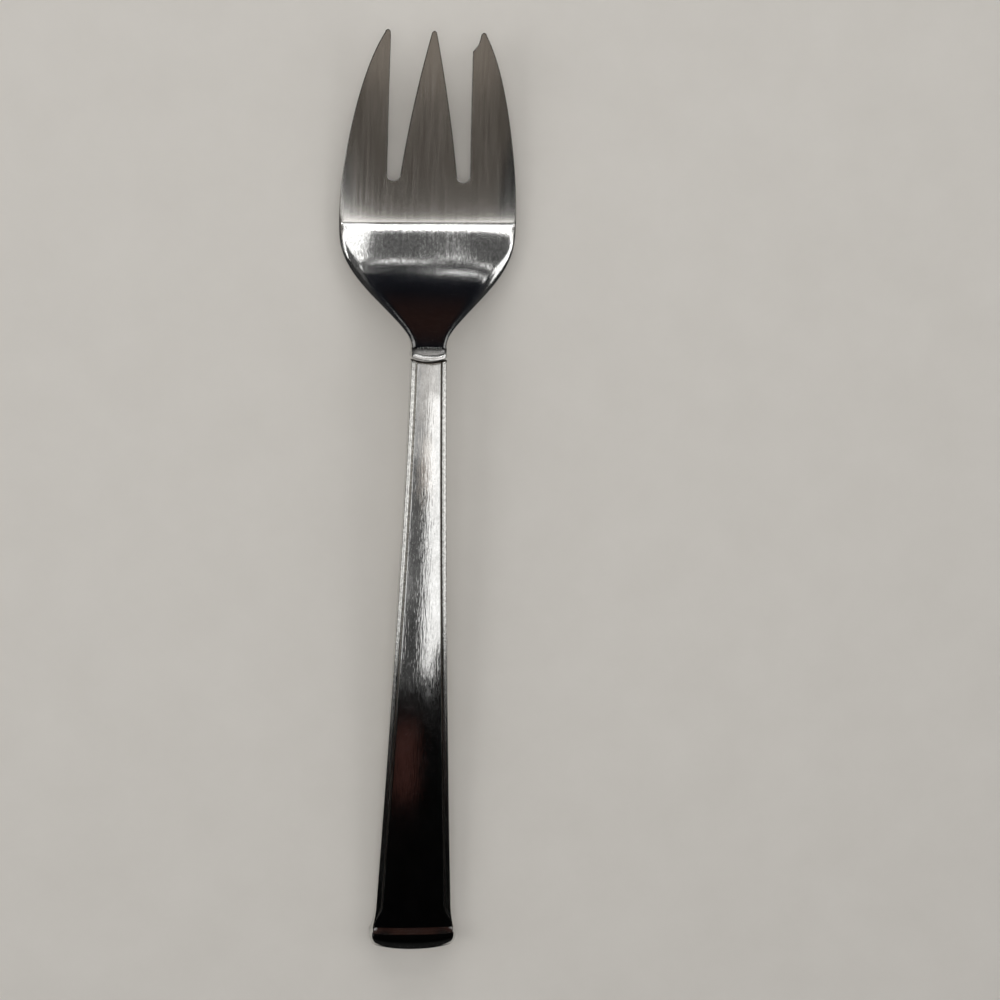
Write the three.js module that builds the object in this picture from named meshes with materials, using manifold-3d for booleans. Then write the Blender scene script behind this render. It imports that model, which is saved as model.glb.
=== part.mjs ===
// Cold meat fork: a pressed steel head with three tines and a tang, a collar at the neck, and a hollow
// handle of two pressed shells around a cement core, closed by a butt cap.
// Millimetres. +Z is up, the tines point to +Y, and the fork lies on its heel and its butt at Z = 0.
import * as THREE from "three";
import { mergeVertices } from "three/addons/utils/BufferGeometryUtils.js";
import Module from "manifold-3d";

const wasm = await Module();
wasm.setup();

// Lengths along the fork, from the tine tips to the butt
const bladeLength = 42.4;
const heelPadLength = 1.6;
const bowlLength = 28.3;
const collarLength = 1.2;
const shellLength = 136.45;
const capLength = 5.15;
const jointGap = 0.3;

// Outline of the head, as half widths and distances back from the tips
const bowlHalfWidth = 20.5;
const widestFromTip = 42;
const shoulderHalfWidth = 12.2;
const shoulderFromTip = 60.4;
const neckHalfWidth = 4;
const bladeFlankReach = 10.4;
const tipFlankRun = 5.9;
const tipFlankRise = 9.3;
const shoulderReach = 6.1;
const shoulderRun = 8.4;
const flareRun = 6.9;
const neckStraight = 3.9;

// Tines and the slots between them
const tineLength = 33.3;
const tineTipWidth = 1.2;
const leftTipX = 10.5;
const rightTipX = 11.25;
const slotOuterX = 9.65;
const slotInnerX = 6.5;
const leftSlotTipX = 9.8;
const rightSlotTipX = 8.95;
const middleTineSwell = 0.85;
const nickLength = 4.1;
const nickStepLength = 1.6;
const nickStepDepth = 1.25;

// Side profile of the head: heights of its underside and its thickness
const tipLift = 8.6;
const tipLiftRun = 13;
const tipLiftRise = 4.4;
const bladeFlatReach = 15;
const neckLift = 11;
const bowlFlatReach = 12;
const rampSlope = 0.57;
const rampRun = 7;
const neckFillet = 2.0;
const tipThickness = 1.5;
const bowlThickness = 2.2;
const neckThickness = 4.2;
const heelPadHalfWidth = 5;
const dishDepth = 1.7;
const bowlDishReach = 20;
const bladeDishReach = 36;

// Tang and the core that holds it
const tangLength = 38;
const tangHalfWidth = 2.3;
const tangThickness = 1.7;
const tangEdgeRadius = 0.4;
const fitClearance = 0.3;

// Handle: seam line, widths and shell section
const seamAtNeck = 12.35;
const seamAtButt = 2.6;
const seamNeckRun = 28;
const seamNeckRise = 0.9;
const seamButtRun = 45;
const seamButtRise = 2.2;
const handleNeckHalfWidth = 4.1;
const handleButtHalfWidth = 9.28;
const handleFlare = 1.3;
const buttFlare = 0.25;
const buttFlareLength = 4;
const frontRiseAtNeck = 2.9;
const frontRiseAtButt = 2.75;
const backDepthAtNeck = 2.6;
const backDepthAtButt = 2.35;
const shellWall = 0.6;
const shellInnerCorner = 0.7;
const coreCornerRadius = 0.8;
const edgeBevel = 0.35;
const beadWidth = 0.75;
const beadHeight = 0.12;
const grooveWidth = 0.65;
const grooveDepth = 0.25;
const panelEdgeSlope = 0.14;
const rimTaperLength = 3.8;
const rimRunOut = 1.2;
const rimLeast = 0.1;
const rimAtNeck = 0.85;
const backCornerRadius = 1.1;
const backCrown = 0.25;
const jointSag = 0.75;

// Collar and butt cap
const collarProud = 0.05;
const collarCornerRadius = 0.7;
const capFlare = 0.64;
const lipRise = 1.2;
const lipCrestFrom = 1.25;
const capPadLength = 1;
const capCrestSag = 0.3;
const capEndSag = 1.3;
const capCornerRadius = 1;
const capEndCorner = 0.5;
const capEndDrop = 0.8;
const capFlareCurve = 1.5;
const spigotLength = 4;

// Steps of the curved surfaces, the part of a side that a corner may take, and the spare edge of the sheet
const outlineSteps = 12;
const bladeSteps = 14;
const bowlSteps = 16;
const filletSteps = 4;
const neckEndSteps = 8;
const dishSteps = 6;
const tangSteps = 6;
const shellSteps = 24;
const coreSteps = 14;
const panelSteps = 4;
const cornerSteps = 3;
const edgeSteps = 3;
const lipSteps = 3;
const roundSteps = 5;
const cornerLimit = 0.48;
const sheetMargin = 1.2;

// Places along Y that follow from the lengths
const overallLength =
  bladeLength + heelPadLength + bowlLength + collarLength + shellLength + capLength + 3 * jointGap;
const yTip = overallLength / 2;
const yHeelFront = yTip - bladeLength;
const yHeelBack = yHeelFront - heelPadLength;
const yNeckEnd = yHeelBack - bowlLength;
const yCollarFront = yNeckEnd - jointGap;
const yCollarBack = yCollarFront - collarLength;
const yShellFront = yCollarBack - jointGap;
const yShellBack = yShellFront - shellLength;
const yCapFront = yShellBack - jointGap;

const steel = (name, color, roughness) =>
  new THREE.MeshStandardMaterial({ name, color, roughness, metalness: 1 });
const satinSteel = () => steel("satin_steel", 0xb9b6b0, 0.32);
const polishedSteel = () => steel("polished_steel", 0xc9c7c2, 0.12);
const cement = () => new THREE.MeshStandardMaterial({ name: "cement", color: 0x8d8577, roughness: 0.9 });

const lerp = THREE.MathUtils.lerp;
const smooth = (value, from, to) => THREE.MathUtils.smoothstep(value, from, to);
const mirrored = (points) => points.map(([x, z]) => [-x, z]).reverse();

// Joins and cuts of closed meshes

function solidOf(geometry) {
  const bare = geometry.clone();
  bare.deleteAttribute("normal");
  bare.deleteAttribute("uv");
  const merged = mergeVertices(bare);
  return new wasm.Manifold(
    new wasm.Mesh({
      numProp: 3,
      vertProperties: merged.attributes.position.array,
      triVerts: new Uint32Array(merged.index.array),
    }),
  );
}

function geometryOf(solid) {
  const { vertProperties, triVerts } = solid.getMesh();
  return meshGeometry(vertProperties, triVerts);
}

function meshGeometry(positions, triangles) {
  const geometry = new THREE.BufferGeometry();
  geometry.setAttribute("position", new THREE.BufferAttribute(new Float32Array(positions), 3));
  geometry.setIndex(new THREE.BufferAttribute(new Uint32Array(triangles), 1));
  geometry.computeVertexNormals();
  return geometry;
}

// Skins closed rings of equal length, given from front to back. Each end is closed by upright strips
// between the ring's top and its bottom.
function loft(rings) {
  const size = rings[0].length;
  const positions = rings.flat(2);
  const triangles = [];
  for (let row = 0; row + 1 < rings.length; row++) {
    for (let i = 0; i < size; i++) {
      const next = (i + 1) % size;
      const a = row * size + i;
      const b = row * size + next;
      triangles.push(a, a + size, b, b, a + size, b + size);
    }
  }
  const half = size / 2;
  const strip = (first, corners) => {
    const [a, b, c, d] = corners.map((corner) => first + corner);
    triangles.push(a, b, c, a, c, d);
  };
  const firstOfLast = (rings.length - 1) * size;
  for (let i = 0; 2 * i + 1 < half; i++) {
    const right = [i, i + 1, half - i - 1, half - i];
    const left = [half + i, half + i + 1, size - i - 1, (size - i) % size];
    for (const corners of [right, left]) {
      strip(0, corners);
      strip(firstOfLast, corners.toReversed());
    }
  }
  return meshGeometry(positions, triangles);
}

// Skins a channel between an outer and an inner line of points per row, from one open edge to the other.
function channel(rows) {
  const size = rows[0].outer.length;
  const positions = rows.flatMap(({ outer, inner }) => [...outer, ...inner]).flat();
  const triangles = [];
  const quad = (a, b, c, d) => triangles.push(a, b, c, a, c, d);
  const at = (row, side, i) => row * 2 * size + side * size + i;
  const last = rows.length - 1;
  for (let row = 0; row < last; row++) {
    for (let i = 0; i + 1 < size; i++) {
      quad(at(row, 0, i), at(row, 0, i + 1), at(row + 1, 0, i + 1), at(row + 1, 0, i));
      quad(at(row, 1, i), at(row + 1, 1, i), at(row + 1, 1, i + 1), at(row, 1, i + 1));
    }
    quad(at(row, 0, 0), at(row + 1, 0, 0), at(row + 1, 1, 0), at(row, 1, 0));
    const end = size - 1;
    quad(at(row, 0, end), at(row, 1, end), at(row + 1, 1, end), at(row + 1, 0, end));
  }
  for (let i = 0; i + 1 < size; i++) {
    quad(at(0, 0, i), at(0, 1, i), at(0, 1, i + 1), at(0, 0, i + 1));
    quad(at(last, 0, i), at(last, 0, i + 1), at(last, 1, i + 1), at(last, 1, i));
  }
  return meshGeometry(positions, triangles);
}

// Rounded rectangle in the XZ plane as [x, z] points, clockwise seen from +Y.
function roundedSection(halfWidth, zTop, zBottom, radius) {
  const corner = Math.min(radius, cornerLimit * (zTop - zBottom), cornerLimit * halfWidth);
  const flat = halfWidth - corner;
  const rightSide = [];
  for (let i = 0; i <= edgeSteps; i++) {
    rightSide.push([(flat * i) / edgeSteps, zTop]);
  }
  const zShoulder = zTop - corner;
  const zHip = zBottom + corner;
  for (let i = 1; i <= cornerSteps; i++) {
    const turn = (i / cornerSteps) * (Math.PI / 2);
    rightSide.push([flat + corner * Math.sin(turn), zShoulder + corner * Math.cos(turn)]);
  }
  for (let i = 0; i < cornerSteps; i++) {
    const turn = (i / cornerSteps) * (Math.PI / 2);
    rightSide.push([flat + corner * Math.cos(turn), zHip - corner * Math.sin(turn)]);
  }
  for (let i = edgeSteps; i >= 0; i--) {
    rightSide.push([(flat * i) / edgeSteps, zBottom]);
  }
  return [...rightSide, ...mirrored(rightSide.slice(1, -1))];
}

// Handle lines: the seam between the shells, and the section's sizes along it

const seamCurve = new THREE.CubicBezierCurve(
  new THREE.Vector2(yShellFront, seamAtNeck),
  new THREE.Vector2(yShellFront - seamNeckRun, seamAtNeck + seamNeckRise),
  new THREE.Vector2(yShellBack + seamButtRun, seamAtButt + seamButtRise),
  new THREE.Vector2(yShellBack, seamAtButt),
);

// Height of the seam at y, run on along its end tangents beyond the shells.
function seamHeight(y) {
  if (y >= yShellFront) {
    return seamAtNeck + ((yShellFront - y) * seamNeckRise) / seamNeckRun;
  }
  if (y <= yShellBack) {
    return seamAtButt - ((yShellBack - y) * seamButtRise) / seamButtRun;
  }
  let low = 0;
  let high = 1;
  while (high - low > 1e-6) {
    const middle = (low + high) / 2;
    if (seamCurve.getPoint(middle).x > y) low = middle;
    else high = middle;
  }
  return seamCurve.getPoint(low).y;
}

function handleSection(y) {
  const along = THREE.MathUtils.clamp((yShellFront - y) / shellLength, 0, 1);
  const flare = THREE.MathUtils.clamp((yShellBack + buttFlareLength - y) / buttFlareLength, 0, 1);
  const width = lerp(handleNeckHalfWidth, handleButtHalfWidth, along ** handleFlare);
  const yRimEnd = yShellBack + rimRunOut;
  return {
    seam: seamHeight(y),
    halfWidth: width + buttFlare * flare ** 2,
    rise: lerp(frontRiseAtNeck, frontRiseAtButt, along),
    depth: lerp(backDepthAtNeck, backDepthAtButt, along),
    rim: lerp(rimAtNeck, 1, along) * lerp(rimLeast, 1, smooth(y, yRimEnd, yRimEnd + rimTaperLength)),
  };
}

// Setback of the bowed joints at both ends of the collar: full in the middle, none at the sides.
function jointSetback(x, halfWidth) {
  return jointSag * (1 - Math.min(1, Math.abs(x) / halfWidth) ** 2);
}

// Head

function headOutline() {
  const outline = new THREE.Shape();
  const yWidest = yTip - widestFromTip;
  const yShoulder = yTip - shoulderFromTip;
  const tipRadius = tineTipWidth / 2;
  const yTipCentre = yTip - tipRadius;
  const slotRadius = (slotOuterX - slotInnerX) / 2;
  const slotX = (slotOuterX + slotInnerX) / 2;
  const ySlot = yTip - tineLength + slotRadius;
  const ySwell = (ySlot + yTipCentre) / 2;
  const swellX = (slotInnerX + tipRadius) / 2 + middleTineSwell;

  const flank = (side, tipX, upwards) => {
    const neck = [side * neckHalfWidth, yNeckEnd];
    const neckReach = [side * neckHalfWidth, yNeckEnd + neckStraight];
    const flare = [side * (shoulderHalfWidth - flareRun), yShoulder - flareRun];
    const shoulder = [side * shoulderHalfWidth, yShoulder];
    const shoulderOut = [side * (shoulderHalfWidth + shoulderRun), yShoulder + shoulderRun];
    const widestDown = [side * bowlHalfWidth, yWidest - shoulderReach];
    const widest = [side * bowlHalfWidth, yWidest];
    const widestUp = [side * bowlHalfWidth, yWidest + bladeFlankReach];
    const tip = [side * (tipX + tipRadius), yTipCentre];
    const tipDown = [side * (tipX + tipRadius + tipFlankRun), yTipCentre - tipFlankRise];
    const stops = [neck, neckReach, flare, shoulder, shoulderOut, widestDown, widest, widestUp, tipDown, tip];
    if (!upwards) stops.reverse();
    for (let i = 1; i < stops.length; i += 3) {
      outline.bezierCurveTo(...stops[i], ...stops[i + 1], ...stops[i + 2]);
    }
  };
  const tip = (x) => outline.absarc(x, yTipCentre, tipRadius, 0, Math.PI, false);

  outline.moveTo(neckHalfWidth, yNeckEnd);
  flank(1, rightTipX, true);
  tip(rightTipX);
  const yNick = yTip - nickLength;
  outline.lineTo(rightSlotTipX + nickStepDepth, yNick + nickStepLength);
  outline.lineTo(rightSlotTipX, yNick);
  outline.lineTo(slotOuterX, ySlot);
  outline.absarc(slotX, ySlot, slotRadius, 0, -Math.PI, true);
  outline.quadraticCurveTo(swellX, ySwell, tipRadius, yTipCentre);
  tip(0);
  outline.quadraticCurveTo(-swellX, ySwell, -slotInnerX, ySlot);
  outline.absarc(-slotX, ySlot, slotRadius, 0, -Math.PI, true);
  outline.lineTo(-leftSlotTipX, yTipCentre - tipRadius);
  tip(-leftTipX);
  flank(-1, leftTipX, false);
  for (let i = 1; i < neckEndSteps; i++) {
    const x = lerp(-neckHalfWidth, neckHalfWidth, i / neckEndSteps);
    outline.lineTo(x, yNeckEnd - jointSetback(x, neckHalfWidth));
  }
  outline.closePath();
  return outline;
}

// Points [y, z] of the underside from beyond the tips back to beyond the neck.
function headUnderside() {
  const blade = new THREE.CubicBezierCurve(
    new THREE.Vector2(yTip, tipLift),
    new THREE.Vector2(yTip - tipLiftRun, tipLift - tipLiftRise),
    new THREE.Vector2(yHeelFront + bladeFlatReach, 0),
    new THREE.Vector2(yHeelFront, 0),
  );
  const yRamp = yNeckEnd + neckFillet;
  const zRamp = neckLift - (rampSlope * neckFillet) / 2;
  const bowl = new THREE.CubicBezierCurve(
    new THREE.Vector2(yHeelBack, 0),
    new THREE.Vector2(yHeelBack - bowlFlatReach, 0),
    new THREE.Vector2(yRamp + rampRun, zRamp - rampSlope * rampRun),
    new THREE.Vector2(yRamp, zRamp),
  );
  const fillet = new THREE.QuadraticBezierCurve(
    new THREE.Vector2(yRamp, zRamp),
    new THREE.Vector2(yNeckEnd + neckFillet / 2, neckLift),
    new THREE.Vector2(yNeckEnd, neckLift),
  );
  const curves = [
    ...blade.getPoints(bladeSteps),
    ...bowl.getPoints(bowlSteps),
    ...fillet.getPoints(filletSteps).slice(1),
  ];
  const beyondTip = [yTip + sheetMargin, tipLift + (sheetMargin * tipLiftRise) / tipLiftRun];
  const beyondNeck = [yNeckEnd - jointSag - sheetMargin, neckLift];
  return [beyondTip, ...curves.map((p) => [p.x, p.y]), beyondNeck];
}

function headThickness(y) {
  if (y > yHeelFront) return lerp(bowlThickness, tipThickness, smooth(y, yHeelFront, yTip));
  return lerp(neckThickness, bowlThickness, smooth(y, yNeckEnd, yHeelBack));
}

// How far the pressed dish lifts the sheet at x, y: nothing over the heel pad, full at the rim of the bowl.
function dishLift(x, y) {
  const yDish = (yHeelFront + yHeelBack) / 2;
  const reach = y > yDish ? bladeDishReach : bowlDishReach;
  const along = 1 - smooth(Math.abs(y - yDish), 0, reach);
  const out = Math.max(0, Math.abs(x) - heelPadHalfWidth) / (bowlHalfWidth - heelPadHalfWidth);
  return dishDepth * along * out ** 3;
}

// The bent sheet that the outline is cut from, wider than the bowl.
function headSheet() {
  const half = [];
  for (let i = 0; i <= dishSteps; i++) {
    half.push(lerp(bowlHalfWidth + sheetMargin, heelPadHalfWidth, i / dishSteps));
  }
  const columns = [...half, 0, ...half.map((x) => -x).reverse()];
  const rows = headUnderside().map(([y, z]) => ({
    outer: columns.map((x) => [x, y, z + dishLift(x, y) + headThickness(y)]),
    inner: columns.map((x) => [x, y, z + dishLift(x, y)]),
  }));
  return channel(rows);
}

function tangRings(clearance, length) {
  const halfThickness = tangThickness / 2 + clearance;
  const rings = [];
  for (let i = 0; i <= tangSteps; i++) {
    const y = lerp(yNeckEnd + neckStraight / 2, yNeckEnd - length, i / tangSteps);
    const z = seamHeight(y);
    const halfWidth = tangHalfWidth + clearance;
    const section = roundedSection(halfWidth, z + halfThickness, z - halfThickness, tangEdgeRadius);
    rings.push(section.map(([x, height]) => [x, y, height]));
  }
  return rings;
}

function headGeometry() {
  const tall = tipLift + neckLift + neckThickness;
  const prism = new THREE.ExtrudeGeometry(headOutline(), {
    depth: 2 * tall,
    bevelEnabled: false,
    curveSegments: outlineSteps,
  });
  prism.translate(0, 0, -tall / 2);
  const pressed = solidOf(headSheet()).intersect(solidOf(prism));
  return geometryOf(pressed.add(solidOf(loft(tangRings(0, tangLength)))));
}

// Collar

function collarGeometry() {
  const ring = (y) => {
    const section = handleSection(y);
    const halfWidth = section.halfWidth + collarProud;
    const zTop = section.seam + section.rise + collarProud;
    const zBottom = section.seam - section.depth - collarProud;
    const corners = roundedSection(halfWidth, zTop, zBottom, collarCornerRadius);
    return corners.map(([x, z]) => [x, y - jointSetback(x, halfWidth), z]);
  };
  const blank = solidOf(loft([ring(yCollarFront), ring(yCollarBack)]));
  return geometryOf(blank.subtract(solidOf(loft(tangRings(fitClearance, tangLength)))));
}

// Handle shells

const rimWidth = edgeBevel + beadWidth + grooveWidth;

// Outer and inner [x, height] points of the front shell's right half, heights above the seam.
function frontHalf({ halfWidth, rise, rim }) {
  const panelHalf = halfWidth - lerp(edgeBevel, rimWidth, rim);
  const crown = (panelEdgeSlope * panelHalf) / 2;
  const shoulder = rise - crown;
  const bead = beadWidth * rim;
  const groove = grooveWidth * rim;
  const xBevel = halfWidth - edgeBevel;
  const outer = [
    [halfWidth, jointGap / 2],
    [halfWidth, shoulder - edgeBevel],
    [xBevel, shoulder],
    [xBevel - bead / 2, shoulder + beadHeight * rim],
    [xBevel - bead, shoulder],
    [xBevel - bead - groove / 2, shoulder - grooveDepth * rim],
  ];
  for (let i = 0; i <= panelSteps; i++) {
    const x = panelHalf * (1 - i / panelSteps);
    outer.push([x, rise - crown * (x / panelHalf) ** 2]);
  }
  return { outer, inner: innerHalf(outer, halfWidth, shoulder) };
}

// Inner line one wall inside, with a bevelled corner and as many points as the outer line.
function innerHalf(outer, halfWidth, shoulder) {
  const corner = shellInnerCorner;
  const xWall = halfWidth - shellWall;
  const roof = shoulder - shellWall;
  const inner = [
    [xWall, jointGap / 2],
    [xWall, roof - corner],
  ];
  const rest = outer.length - 2;
  for (let i = 0; i < rest; i++) {
    const x = (xWall - corner) * (1 - i / (rest - 1));
    inner.push([x, roof]);
  }
  return inner;
}

function backHalf({ halfWidth, depth }) {
  const shoulder = depth - backCrown;
  const radius = Math.min(backCornerRadius, shoulder / 2);
  const outer = [[halfWidth, jointGap / 2]];
  for (let i = 0; i <= cornerSteps; i++) {
    const turn = (i / cornerSteps) * (Math.PI / 2);
    const x = halfWidth - radius * (1 - Math.cos(turn));
    outer.push([x, shoulder - radius * (1 - Math.sin(turn))]);
  }
  const flat = halfWidth - radius;
  for (let i = 1; i <= panelSteps; i++) {
    const x = flat * (1 - i / panelSteps);
    outer.push([x, depth - backCrown * (x / flat) ** 2]);
  }
  return { outer, inner: innerHalf(outer, halfWidth, shoulder) };
}

function shellRow(y, half, side, curved) {
  const section = handleSection(y);
  const { outer, inner } = half(section);
  const whole = (points) => [...points, ...mirrored(points.slice(0, -1))];
  const place = ([x, height]) => {
    const setback = curved ? jointSetback(x, section.halfWidth) : 0;
    return [x, y - setback, section.seam + side * height];
  };
  const lines = { outer: whole(outer).map(place), inner: whole(inner).map(place) };
  if (side > 0) return lines;
  return { outer: lines.outer.reverse(), inner: lines.inner.reverse() };
}

function shellGeometry(half, side) {
  const rows = [shellRow(yShellFront, half, side, true)];
  const yFirst = yShellFront - 2 * jointSag;
  for (let i = 0; i <= shellSteps; i++) {
    rows.push(shellRow(lerp(yFirst, yShellBack, i / shellSteps), half, side, false));
  }
  return channel(rows);
}

// Core

// Ring of the room inside the shells, less a clearance.
function roomRing(y) {
  const { seam, halfWidth, rise, depth } = handleSection(y);
  const crown = (panelEdgeSlope * halfWidth) / 2;
  const top = seam + rise - crown - shellWall - fitClearance;
  const bottom = seam - depth + backCrown + shellWall + fitClearance;
  const section = roundedSection(halfWidth - shellWall - fitClearance, top, bottom, coreCornerRadius);
  return section.map(([x, z]) => [x, y, z]);
}

function coreGeometry() {
  const yFront = yShellFront - jointSag - fitClearance;
  const yBack = yShellBack + spigotLength + fitClearance;
  const rings = [];
  for (let i = 0; i <= coreSteps; i++) {
    rings.push(roomRing(lerp(yFront, yBack, i / coreSteps)));
  }
  const socket = loft(tangRings(fitClearance, tangLength + fitClearance));
  return geometryOf(solidOf(loft(rings)).subtract(solidOf(socket)));
}

// Butt cap

function capGeometry() {
  const joint = handleSection(yShellBack);
  const zTop = joint.seam + joint.rise;
  const zBottom = joint.seam - joint.depth;
  const crestHalfWidth = joint.halfWidth + capFlare;
  const crestTop = zTop + lipRise;
  const middle = crestTop / 2;
  const roundLength = capLength - lipCrestFrom - capPadLength;
  const ring = (from, halfWidth, top, bottom, sag) => {
    const section = roundedSection(halfWidth, top, bottom, capCornerRadius);
    return section.map(([x, z]) => [x, yCapFront - from + sag * (x / crestHalfWidth) ** 2, z]);
  };
  const rings = [roomRing(yCapFront + spigotLength + jointGap), roomRing(yCapFront)];
  for (let i = 0; i <= lipSteps; i++) {
    const share = i / lipSteps;
    const halfWidth = lerp(joint.halfWidth, crestHalfWidth, share ** capFlareCurve);
    const sag = capCrestSag * share * share;
    rings.push(
      ring(share * lipCrestFrom, halfWidth, lerp(zTop, crestTop, share), lerp(zBottom, 0, share), sag),
    );
  }
  for (let i = 0; i <= roundSteps; i++) {
    const share = i / roundSteps;
    const from = lipCrestFrom + capPadLength + roundLength * share;
    const half = middle - capEndDrop * share ** 2;
    const halfWidth = crestHalfWidth - capEndCorner * share ** 2;
    const sag = lerp(capCrestSag, capEndSag, share);
    rings.push(ring(from, halfWidth, middle + half, middle - half, sag));
  }
  return loft(rings);
}

const fork = new THREE.Group();
fork.name = "cold_meat_fork";

function addPiece(name, geometry, material) {
  const mesh = new THREE.Mesh(geometry, material);
  mesh.name = name;
  fork.add(mesh);
}

addPiece("fork_head", headGeometry(), satinSteel());
addPiece("neck_collar", collarGeometry(), polishedSteel());
addPiece("handle_front_shell", shellGeometry(frontHalf, 1), polishedSteel());
addPiece("handle_back_shell", shellGeometry(backHalf, -1), polishedSteel());
addPiece("handle_core", coreGeometry(), cement());
addPiece("butt_cap", capGeometry(), polishedSteel());

export default fork;
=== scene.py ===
import math

import bpy
import numpy as np
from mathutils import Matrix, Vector
from mathutils.geometry import delaunay_2d_cdt


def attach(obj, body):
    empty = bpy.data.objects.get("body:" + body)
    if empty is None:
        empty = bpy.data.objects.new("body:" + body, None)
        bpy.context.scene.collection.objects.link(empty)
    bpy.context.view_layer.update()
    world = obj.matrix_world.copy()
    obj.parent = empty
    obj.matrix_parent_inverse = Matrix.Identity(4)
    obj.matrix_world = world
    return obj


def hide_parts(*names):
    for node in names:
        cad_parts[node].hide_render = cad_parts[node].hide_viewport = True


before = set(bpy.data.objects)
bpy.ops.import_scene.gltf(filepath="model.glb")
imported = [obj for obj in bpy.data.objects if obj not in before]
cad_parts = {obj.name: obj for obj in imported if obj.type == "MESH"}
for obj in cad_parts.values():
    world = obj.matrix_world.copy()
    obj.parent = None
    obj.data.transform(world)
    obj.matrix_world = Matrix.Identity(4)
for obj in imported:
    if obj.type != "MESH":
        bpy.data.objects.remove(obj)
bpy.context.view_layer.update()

MM = 0.001

# Lengths along the fork in millimetres, from the tine tips to the butt
BLADE_LENGTH = 42.4
HEEL_PAD_LENGTH = 1.6
BOWL_LENGTH = 27.8
COLLAR_LENGTH = 1.2
SHELL_LENGTH = 136.95
CAP_LENGTH = 5.15
JOINT_GAP = 0.3
JOINT_COUNT = 3

# Outline of the head, as half widths and distances back from the tips
BOWL_HALF_WIDTH = 20.5
WIDEST_FROM_TIP = 42.0
SHOULDER_HALF_WIDTH = 12.2
SHOULDER_FROM_TIP = 60.4
NECK_HALF_WIDTH = 4.0
BLADE_FLANK_REACH = 10.4
TIP_FLANK_RUN = 5.9
TIP_FLANK_RISE = 9.3
SHOULDER_REACH = 6.1
SHOULDER_RUN = 8.4
FLARE_RUN = 6.9
NECK_STRAIGHT = 3.4

# Tines and the slots between them
TINE_LENGTH = 33.3
TINE_TIP_WIDTH = 1.2
LEFT_TIP_X = 10.5
RIGHT_TIP_X = 11.25
SLOT_OUTER_X = 9.65
SLOT_INNER_X = 6.5
LEFT_SLOT_TIP_X = 9.8
RIGHT_SLOT_TIP_X = 8.95
MIDDLE_TINE_SWELL = 0.85
NICK_LENGTH = 4.1
NICK_STEP_LENGTH = 1.6
NICK_STEP_DEPTH = 1.25

# Side profile of the head
TIP_LIFT = 8.6
TIP_LIFT_RUN = 13.0
TIP_LIFT_RISE = 4.4
BLADE_FLAT_REACH = 15.0
NECK_LIFT = 11.0
BOWL_FLAT_REACH = 12.0
RAMP_SLOPE = 0.57
RAMP_RUN = 7.0
NECK_FILLET = 0.5
# Length of the neck's end that carries the painted shade gradient
SHADED_NECK_LENGTH = 0.7
TIP_THICKNESS = 1.5
BOWL_THICKNESS = 2.2
NECK_THICKNESS = 4.2
HEEL_PAD_HALF_WIDTH = 5.0
DISH_DEPTH = 1.7
DISH_CURVE = 3
BOWL_DISH_REACH = 20.0
BLADE_DISH_REACH = 60.0

# Handle
SEAM_AT_NECK = 12.35
SEAM_AT_BUTT = 2.6
SEAM_NECK_RUN = 28.0
SEAM_NECK_RISE = 0.9
SEAM_BUTT_RUN = 45.0
SEAM_BUTT_RISE = 2.2
HANDLE_NECK_HALF_WIDTH = 4.1
HANDLE_BUTT_HALF_WIDTH = 9.28
HANDLE_FLARE = 1.3
BUTT_FLARE = 0.5
BUTT_FLARE_LENGTH = 5.0
FRONT_RISE_AT_NECK = 2.9
FRONT_RISE_AT_BUTT = 2.75
BACK_DEPTH_AT_NECK = 2.6
BACK_DEPTH_AT_BUTT = 2.35
SHELL_WALL = 0.6
SHELL_INNER_CORNER = 0.7
EDGE_BEVEL = 0.35
BEAD_WIDTH = 0.75
BEAD_HEIGHT = 0.12
GROOVE_WIDTH = 0.65
GROOVE_DEPTH = 0.25
PANEL_EDGE_SLOPE = 0.14
RIM_TAPER_LENGTH = 3.8
RIM_RUN_OUT = 1.2
RIM_LEAST = 0.1
RIM_AT_NECK = 0.85
BACK_CORNER_RADIUS = 1.1
BACK_CROWN = 0.25
JOINT_SAG = 0.75
MOUTH_ROUND = 0.4
MOUTH_FADE = 4.0

# Collar and butt cap
COLLAR_PROUD = 0.05
COLLAR_CORNER_RADIUS = 0.7
COLLAR_ROUND = 0.15
CAP_FLARE = 0.6
LIP_RISE = 1.2
LIP_CREST_FROM = 1.25
LIP_END_FALL = 1.3
LIP_END_CURVE = 3
CAP_PAD_LENGTH = 1.0
CAP_CREST_SAG = 0.15
CAP_END_SAG = 1.3
CAP_CORNER_RADIUS = 1.0
CAP_END_CORNER = 0.5
CAP_END_DROP = 0.8
CAP_END_ROUND = 0.15
CAP_FLARE_CURVE = 1.5
SPIGOT_LENGTH = 4.0
SPIGOT_CLEARANCE = 0.3
SPIGOT_CORNER_RADIUS = 0.8

# Edges of the head's front side: where along Y, how wide the rounding is and how far it falls
EDGE_PLACES = (36.0, 40.0, 45.0, 50.0, 56.0, 61.0, 66.0, 74.0)
EDGE_WIDTHS = (1.2, 1.3, 1.9, 2.5, 2.6, 1.6, 0.7, 0.12)
EDGE_DROPS = (0.6, 0.6, 0.8, 1.0, 1.0, 0.6, 0.3, 0.06)
UNDER_EDGE_WIDTH = 0.5
UNDER_EDGE_DROP = 0.4

# Line across the heel where the satin blade meets the polished bowl
CREASE_Y = 65.1
HEEL_TILT = 0.024
HEEL_TILT_REACH = 20.0
HEEL_KICK = 0.036
HEEL_KICK_TURN = 0.026
HEEL_KICK_SOFTNESS = 1.5
HEEL_KICK_REACH = 60.0
CREASE_HALF_WIDTH = 0.14
CREASE_DEPTH_LEFT = 0.05
CREASE_DEPTH_RIGHT = 0.015

# Hairline that shows at a soldered joint
HAIRLINE = 0.06

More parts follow.
